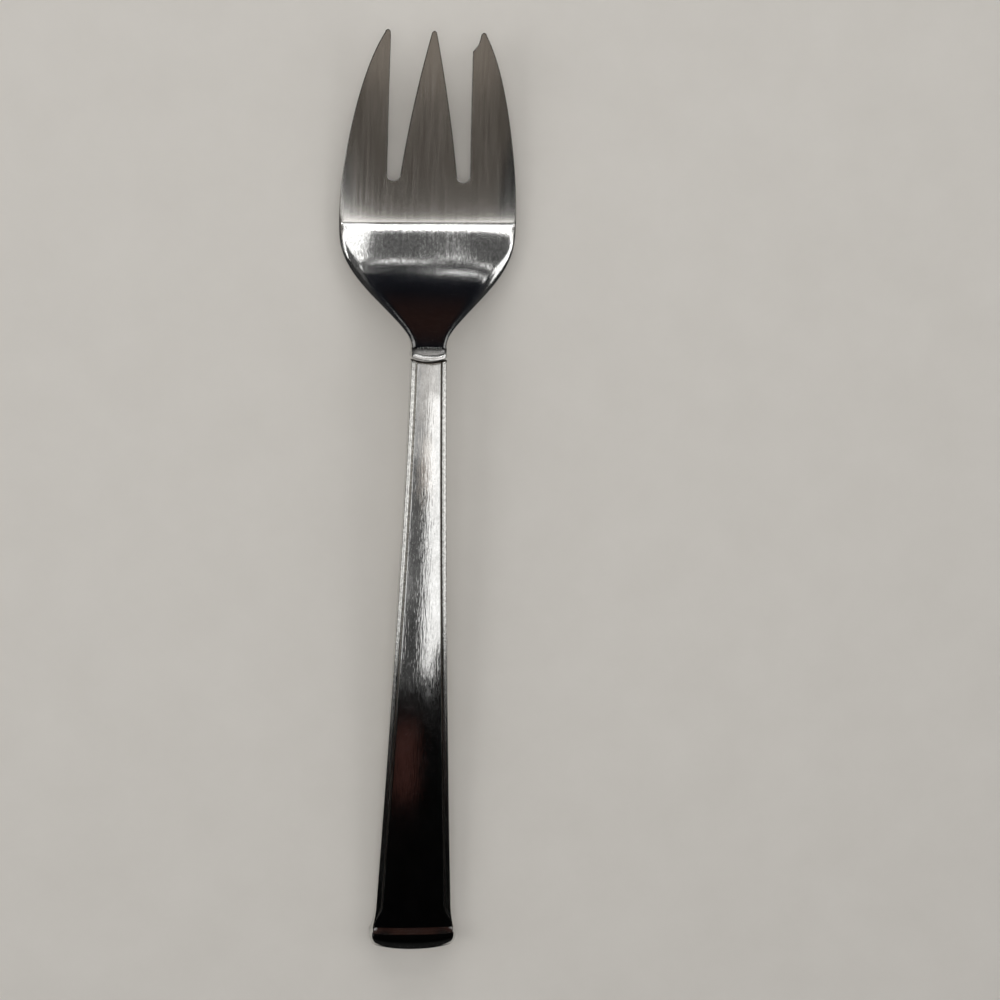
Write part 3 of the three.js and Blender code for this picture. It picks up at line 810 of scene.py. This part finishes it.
# Middle part of a noise pattern's range over which a finish changes
NOISE_LOW = 0.3
NOISE_HIGH = 0.7

# Darkest and lightest tone of the polished steel
BRIGHT_STEEL_DARK = (0.5, 0.495, 0.48)
BRIGHT_STEEL_LIGHT = (0.78, 0.775, 0.76)


def add_node(tree, kind, inputs=None, **settings):
    """A new node with its settings, and with a value or a link for each named input."""
    node = tree.nodes.new(kind)
    for key, value in settings.items():
        setattr(node, key, value)
    for key, value in (inputs or {}).items():
        if isinstance(value, bpy.types.NodeSocket):
            tree.links.new(value, node.inputs[key])
        else:
            node.inputs[key].default_value = value
    return node


def new_material(name):
    material = bpy.data.materials.new(name)
    material.use_nodes = True
    tree = material.node_tree
    return material, tree, tree.nodes["Principled BSDF"]


def stretched_noise(tree, scale, detail, turn=0.0, fine=0.6):
    """Noise over the object's own place in metres, with a scale per axis and a turn about Z."""
    place = add_node(tree, "ShaderNodeTexCoord").outputs["Object"]
    mapping = add_node(tree, "ShaderNodeMapping", {
        "Vector": place, "Rotation": (0, 0, turn), "Scale": scale})
    noise = add_node(tree, "ShaderNodeTexNoise", {
        "Vector": mapping.outputs["Vector"], "Scale": 1.0, "Detail": detail, "Roughness": fine})
    return noise.outputs["Fac"]


def ramp(tree, factor, stops):
    """A colour ramp through (place, colour) stops."""
    node = add_node(tree, "ShaderNodeValToRGB", {"Fac": factor})
    elements = node.color_ramp.elements
    for element, (place, colour) in zip(elements, (stops[0], stops[-1])):
        element.position = place
        element.color = (*colour, 1)
    for place, colour in stops[1:-1]:
        elements.new(place).color = (*colour, 1)
    return node.outputs["Color"]


def blend(tree, noise, low, high):
    """From one colour to another over the middle of a noise pattern's range."""
    return ramp(tree, noise, [(NOISE_LOW, low), (NOISE_HIGH, high)])


def blend_roughness(tree, noise, smoothest, roughest):
    return blend(tree, noise, (smoothest,) * 3, (roughest,) * 3)


def relief(tree, pattern, height, under=None):
    """Normals of a relief of a pattern, its height in metres, over the normals under it."""
    inputs = {"Height": pattern, "Strength": 1.0, "Distance": height}
    if under is not None:
        inputs["Normal"] = under
    return add_node(tree, "ShaderNodeBump", inputs).outputs["Normal"]


def link_steel(tree, shader, colour, roughness, normal):
    shader.inputs["Metallic"].default_value = 1
    tree.links.new(colour, shader.inputs["Base Color"])
    tree.links.new(roughness, shader.inputs["Roughness"])
    tree.links.new(normal, shader.inputs["Normal"])


def brushed_steel(name, dark, light, smoothest, roughest, grain, streak, dimple, speckled=False):
    """Steel brushed along Y, with streaks, grain and dimples, toned by its streaks or its dimples."""
    material, tree, shader = new_material(name)
    fine = stretched_noise(tree, **GRAIN)
    broad = stretched_noise(tree, **STREAKS)
    spots = stretched_noise(tree, **SPECKLES)
    streaked = relief(tree, broad, streak)
    grained = relief(tree, fine, grain, streaked)
    dimpled = relief(tree, spots, dimple, grained)
    tone = blend(tree, spots if speckled else broad, dark, light)
    link_steel(tree, shader, tone, blend_roughness(tree, broad, smoothest, roughest), dimpled)
    return material


def polished_steel(name, dark, light, smoothest, roughest, scratch):
    """Polished steel with slight waves, crossing hairline scratches and faint clouds of wear."""
    material, tree, shader = new_material(name)
    clouds = stretched_noise(tree, **CLOUDS)
    one_way = stretched_noise(tree, turn=SCRATCH_TURN, **SCRATCHES)
    other_way = stretched_noise(tree, turn=-SCRATCH_TURN, **SCRATCHES)
    waves = relief(tree, stretched_noise(tree, **WAVES), WAVE_HEIGHT)
    first = relief(tree, one_way, scratch, waves)
    second = relief(tree, other_way, scratch, first)
    tone = blend(tree, clouds, dark, light)
    link_steel(tree, shader, tone, blend_roughness(tree, clouds, smoothest, roughest), second)
    return material


def blasted_steel(name, dark, light, smoothest, roughest, dimple, y_from, y_to):
    """Dimpled steel whose colour is painted from dark shade at one place along Y to bright at another."""
    material, tree, shader = new_material(name)
    spots = stretched_noise(tree, **BLASTING)
    length = (y_to - y_from) * MM
    place = add_node(tree, "ShaderNodeTexCoord").outputs["Object"]
    mapping = add_node(tree, "ShaderNodeMapping", {
        "Vector": place, "Location": (-y_from * MM / length, 0, 0), "Rotation": (0, 0, -math.pi / 2),
        "Scale": (1, 1 / length, 1)})
    along = add_node(tree, "ShaderNodeTexGradient", {"Vector": mapping.outputs["Vector"]}).outputs["Fac"]
    tone = ramp(tree, along, [(0.0, dark), (1.0, light)])
    roughness = blend_roughness(tree, spots, smoothest, roughest)
    link_steel(tree, shader, tone, roughness, relief(tree, spots, dimple))
    return material


def mottled(name, scale, dark, light, roughness, height):
    """A matt, faintly mottled surface."""
    material, tree, shader = new_material(name)
    spots = stretched_noise(tree, (scale, scale, scale), MOTTLE_DETAIL)
    tree.links.new(blend(tree, spots, dark, light), shader.inputs["Base Color"])
    shader.inputs["Roughness"].default_value = roughness
    tree.links.new(relief(tree, spots, height), shader.inputs["Normal"])
    return material


# The blade's steel is toned darker than the bowl's as painted shade; its satin roughness and brushing are
# real
satin_blade_painted_shade = brushed_steel(
    "satin_blade_painted_shade", dark=(0.34, 0.33, 0.31), light=(0.4, 0.39, 0.37),
    smoothest=0.13, roughest=0.16, grain=7e-6, streak=4e-6, dimple=1e-6)
polished_bowl = brushed_steel(
    "polished_bowl", dark=(0.46, 0.455, 0.44), light=(0.7, 0.695, 0.68),
    smoothest=0.1, roughest=0.15, grain=5e-6, streak=4e-6, dimple=1e-5, speckled=True)
# Painted shade: the neck's last stretch goes from near black to grey towards the collar; its dimples and
# roughness are real
neck_painted_shade = blasted_steel(
    "neck_painted_shade", dark=(0.015, 0.014, 0.013), light=(0.36, 0.355, 0.345),
    smoothest=0.2, roughest=0.45, dimple=4e-5,
    y_from=Y_NECK_END + SHADED_NECK_LENGTH, y_to=Y_NECK_END - JOINT_SAG)
polished_handle = polished_steel(
    "polished_handle", BRIGHT_STEEL_DARK, BRIGHT_STEEL_LIGHT,
    smoothest=0.08, roughest=0.14, scratch=2.8e-5)
# The rims' steel is toned lighter than the panel's as painted highlight; their satin roughness and
# brushing are real
satin_rim_painted_highlight = brushed_steel(
    "satin_rim_painted_highlight", dark=(0.56, 0.55, 0.52), light=(0.95, 0.94, 0.9),
    smoothest=0.16, roughest=0.24, grain=4e-6, streak=3e-6, dimple=2e-5, speckled=True)
# Painted shade: the grooves' middles and the shell's rounded mouth under the collar are toned near black
groove_painted_shade = polished_steel(
    "groove_painted_shade", dark=(0.07, 0.06, 0.05), light=(0.14, 0.12, 0.1),
    smoothest=0.3, roughest=0.45, scratch=3e-6)
polished_cap = polished_steel(
    "polished_cap", BRIGHT_STEEL_DARK, BRIGHT_STEEL_LIGHT,
    smoothest=0.08, roughest=0.14, scratch=6e-6)
polished_collar = polished_steel(
    "polished_collar", BRIGHT_STEEL_DARK, BRIGHT_STEEL_LIGHT,
    smoothest=0.16, roughest=0.24, scratch=1e-5)
cement = mottled(
    "cement", scale=900, dark=(0.4, 0.37, 0.32), light=(0.52, 0.49, 0.44),
    roughness=0.9, height=2e-5)
table_top = mottled(
    "table_top", scale=60, dark=(0.745, 0.71, 0.655), light=(0.775, 0.74, 0.685),
    roughness=0.75, height=2e-6)

# Pieces

head_data, head_finish = head_mesh()
head_materials = [polished_bowl, satin_blade_painted_shade, neck_painted_shade]
add_piece("tined_head", head_data, head_materials, "fork_head", head_finish)
add_piece("collar_band", collar_mesh(), [polished_collar], "neck_collar")
front_data = shell_mesh(front_profile, 1)
front_size = 2 * len(front_profile(handle_section(Y_SHELL_FRONT))[0]) - 1
front_materials = [polished_handle, satin_rim_painted_highlight, groove_painted_shade]
add_piece("front_shell", front_data, front_materials, "handle_front_shell",
          front_finish(front_size))
back_data = shell_mesh(back_profile, -1)
add_piece("back_shell", back_data, [polished_handle], "handle_back_shell")
add_piece("flared_cap", cap_mesh(), [polished_cap], "butt_cap")
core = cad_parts["handle_core"]
core.data.materials.clear()
core.data.materials.append(cement)

# Floor

FLOOR_REACH = 4.0
FLOOR_CORNERS = ((-1, -1), (1, -1), (1, 1), (-1, 1))
floor_mesh = bpy.data.meshes.new("floor")
floor_corners = [(x * FLOOR_REACH, y * FLOOR_REACH, 0) for x, y in FLOOR_CORNERS]
floor_mesh.from_pydata(floor_corners, [], [(0, 1, 2, 3)])
floor_mesh.materials.append(table_top)
floor = bpy.data.objects.new("floor", floor_mesh)
bpy.context.collection.objects.link(floor)

# Camera: above the head, a little to the left of it

CAMERA_SENSOR = 36
CAMERA_LENS = 72
CAMERA_PLACE = (-39.107, 58.22, 468.906)
CAMERA_TURN = (-7.157, -6.868, 1.529)
camera_data = bpy.data.cameras.new("camera")
camera_data.sensor_width = CAMERA_SENSOR
camera_data.lens = CAMERA_LENS
camera = bpy.data.objects.new("camera", camera_data)
camera.location = [place * MM for place in CAMERA_PLACE]
camera.rotation_euler = [math.radians(turn) for turn in CAMERA_TURN]
bpy.context.collection.objects.link(camera)
bpy.context.scene.camera = camera

# Light: soft boxes light the table, and cards and the dim room are what the steel mirrors

# Heights of the cards in millimetres, one of them in front of its neighbours, and their colours
OVER_HANDLE = 120
OVER_HEAD = 200
OVER_HEAD_IN_FRONT = 198
OVER_TINES = 300
WHITE = (1.0, 1.0, 1.0)
BROWN = (1.0, 0.38, 0.3)
BLADE_GREY = (1.0, 0.85, 0.71)
TINE_GREY = (1.0, 0.87, 0.75)


def add_light(name, size, luminance, colour):
    data = bpy.data.lights.new(name, "AREA")
    data.shape = "RECTANGLE"
    data.size, data.size_y = size
    data.energy = luminance * math.pi * size[0] * size[1]
    data.color = colour
    light = bpy.data.objects.new(name, data)
    light.visible_camera = False
    bpy.context.collection.objects.link(light)
    return light


def card(name, x_range, y_range, height, luminance, colour=WHITE):
    """A level bright card over the fork, given in millimetres, that only the steel shows."""
    size = ((x_range[1] - x_range[0]) * MM, (y_range[1] - y_range[0]) * MM)
    light = add_light(name, size, luminance, colour)
    light.location = (sum(x_range) / 2 * MM, sum(y_range) / 2 * MM, height * MM)
    light.visible_diffuse = False


def softbox(name, place, size, luminance):
    """A soft box, given in metres, that faces the fork and lights the table."""
    light = add_light(name, size, luminance, WHITE)
    light.location = place
    light.rotation_euler = (-Vector(place)).to_track_quat("-Z", "Y").to_euler()
    light.visible_glossy = False


softbox("ceiling_softbox", (0.0, 0.0, 2.0), (5.0, 5.0), 0.27)
softbox("key_softbox", (-0.1, 0.0, 0.9), (0.5, 0.5), 1.4)
softbox("far_softbox", (0.0, 0.9, 0.4), (1.2, 0.6), 1.9)
softbox("left_softbox", (-0.9, 0.0, 0.4), (0.6, 1.2), 1.8)
softbox("right_softbox", (0.9, 0.0, 0.4), (0.6, 1.2), 1.1)
card("handle_top_right", (13.5, 65), (14, 36), OVER_HANDLE, 0.75)
card("handle_right", (13.5, 35), (-86, 14), OVER_HANDLE, 1.4)
card("handle_far_right", (35, 65), (-79, 14), OVER_HANDLE, 1.4)
card("left_side", (-120, -35), (-84, 36), OVER_HANDLE, 0.9)
card("right_side", (65, 150), (-84, 36), OVER_HANDLE, 1.0)
card("handle_front", (-35, 13.5), (-12, 40), OVER_HANDLE, 0.5)
card("handle_middle", (-35, 13.5), (-55, -12), OVER_HANDLE, 0.13)
card("handle_left", (-35, -7), (-62, -5), OVER_HANDLE, 0.3)
card("handle_back", (-35, 13.5), (-90, -55), OVER_HANDLE, 0.07)
card("handle_patch", (-30, -12), (-89, -77), OVER_HANDLE, 1.3)
card("handle_brown", (-35, 8), (-122, -101), OVER_HANDLE, 0.04, BROWN)
card("heel_bar", (-90, 140), (64, 73.8), OVER_HEAD, 5.2)
card("bowl_right", (36, 140), (73.8, 172), OVER_HEAD, 1.9)
card("bowl_front", (-75, 31), (73.8, 205), OVER_HEAD, 0.095)
card("bowl_fade", (-75, 31), (73.8, 222), OVER_HEAD, 0.05)
card("bowl_right_end", (33, 58), (172, 194), OVER_HEAD, 3.0)
card("bowl_far_left", (-2, 16), (198, 211), OVER_HEAD_IN_FRONT, 2.5)
card("bowl_shade", (28, 40), (205, 247), OVER_HEAD, 0.12)
card("bowl_streak", (33, 47), (247, 261), OVER_HEAD, 5.0)
card("neck_left", (-300, -70), (320, 425), OVER_HEAD, 0.45)
card("neck_right", (170, 420), (320, 425), OVER_HEAD, 0.45)
card("blade_grey", (-30, 75), (-12, 64), OVER_HEAD, 0.13, BLADE_GREY)
card("tine_grey", (-10, 60), (-75, -37), OVER_TINES, 0.37, TINE_GREY)

# The room by its angle from straight up, towards the tines or, below zero, towards the butt
ROOM = (
    (-180, (0.01, 0.01, 0.01)),
    (-60, (0.01, 0.01, 0.01)),
    (-40, (0.001, 0.001, 0.001)),
    (-16, (0.001, 0.001, 0.001)),
    (-8, (0.04, 0.04, 0.04)),
    (38, (0.04, 0.04, 0.04)),
    (46, (0.01, 0.011, 0.015)),
    (60, (0.004, 0.005, 0.007)),
    (70, (0.026, 0.012, 0.009)),
    (76, (0.026, 0.012, 0.009)),
    (82, (0.006, 0.006, 0.006)),
    (180, (0.01, 0.01, 0.01)),
)
FULL_TURN = 360
STRAIGHT_UP = 0.5
world = bpy.data.worlds.new("studio")
world.use_nodes = True
room = world.node_tree
direction = add_node(room, "ShaderNodeTexCoord").outputs["Generated"]
turned = add_node(room, "ShaderNodeMapping", {"Vector": direction, "Rotation": (0, math.pi / 2, 0)})
angle = add_node(
    room, "ShaderNodeTexGradient", {"Vector": turned.outputs["Vector"]}, gradient_type="RADIAL")
room_stops = [(STRAIGHT_UP + degrees / FULL_TURN, tone) for degrees, tone in ROOM]
room_colour = ramp(room, angle.outputs["Fac"], room_stops)
room.links.new(room_colour, room.nodes["Background"].inputs["Color"])
bpy.context.scene.world = world
bpy.context.scene.view_settings.view_transform = "Standard"
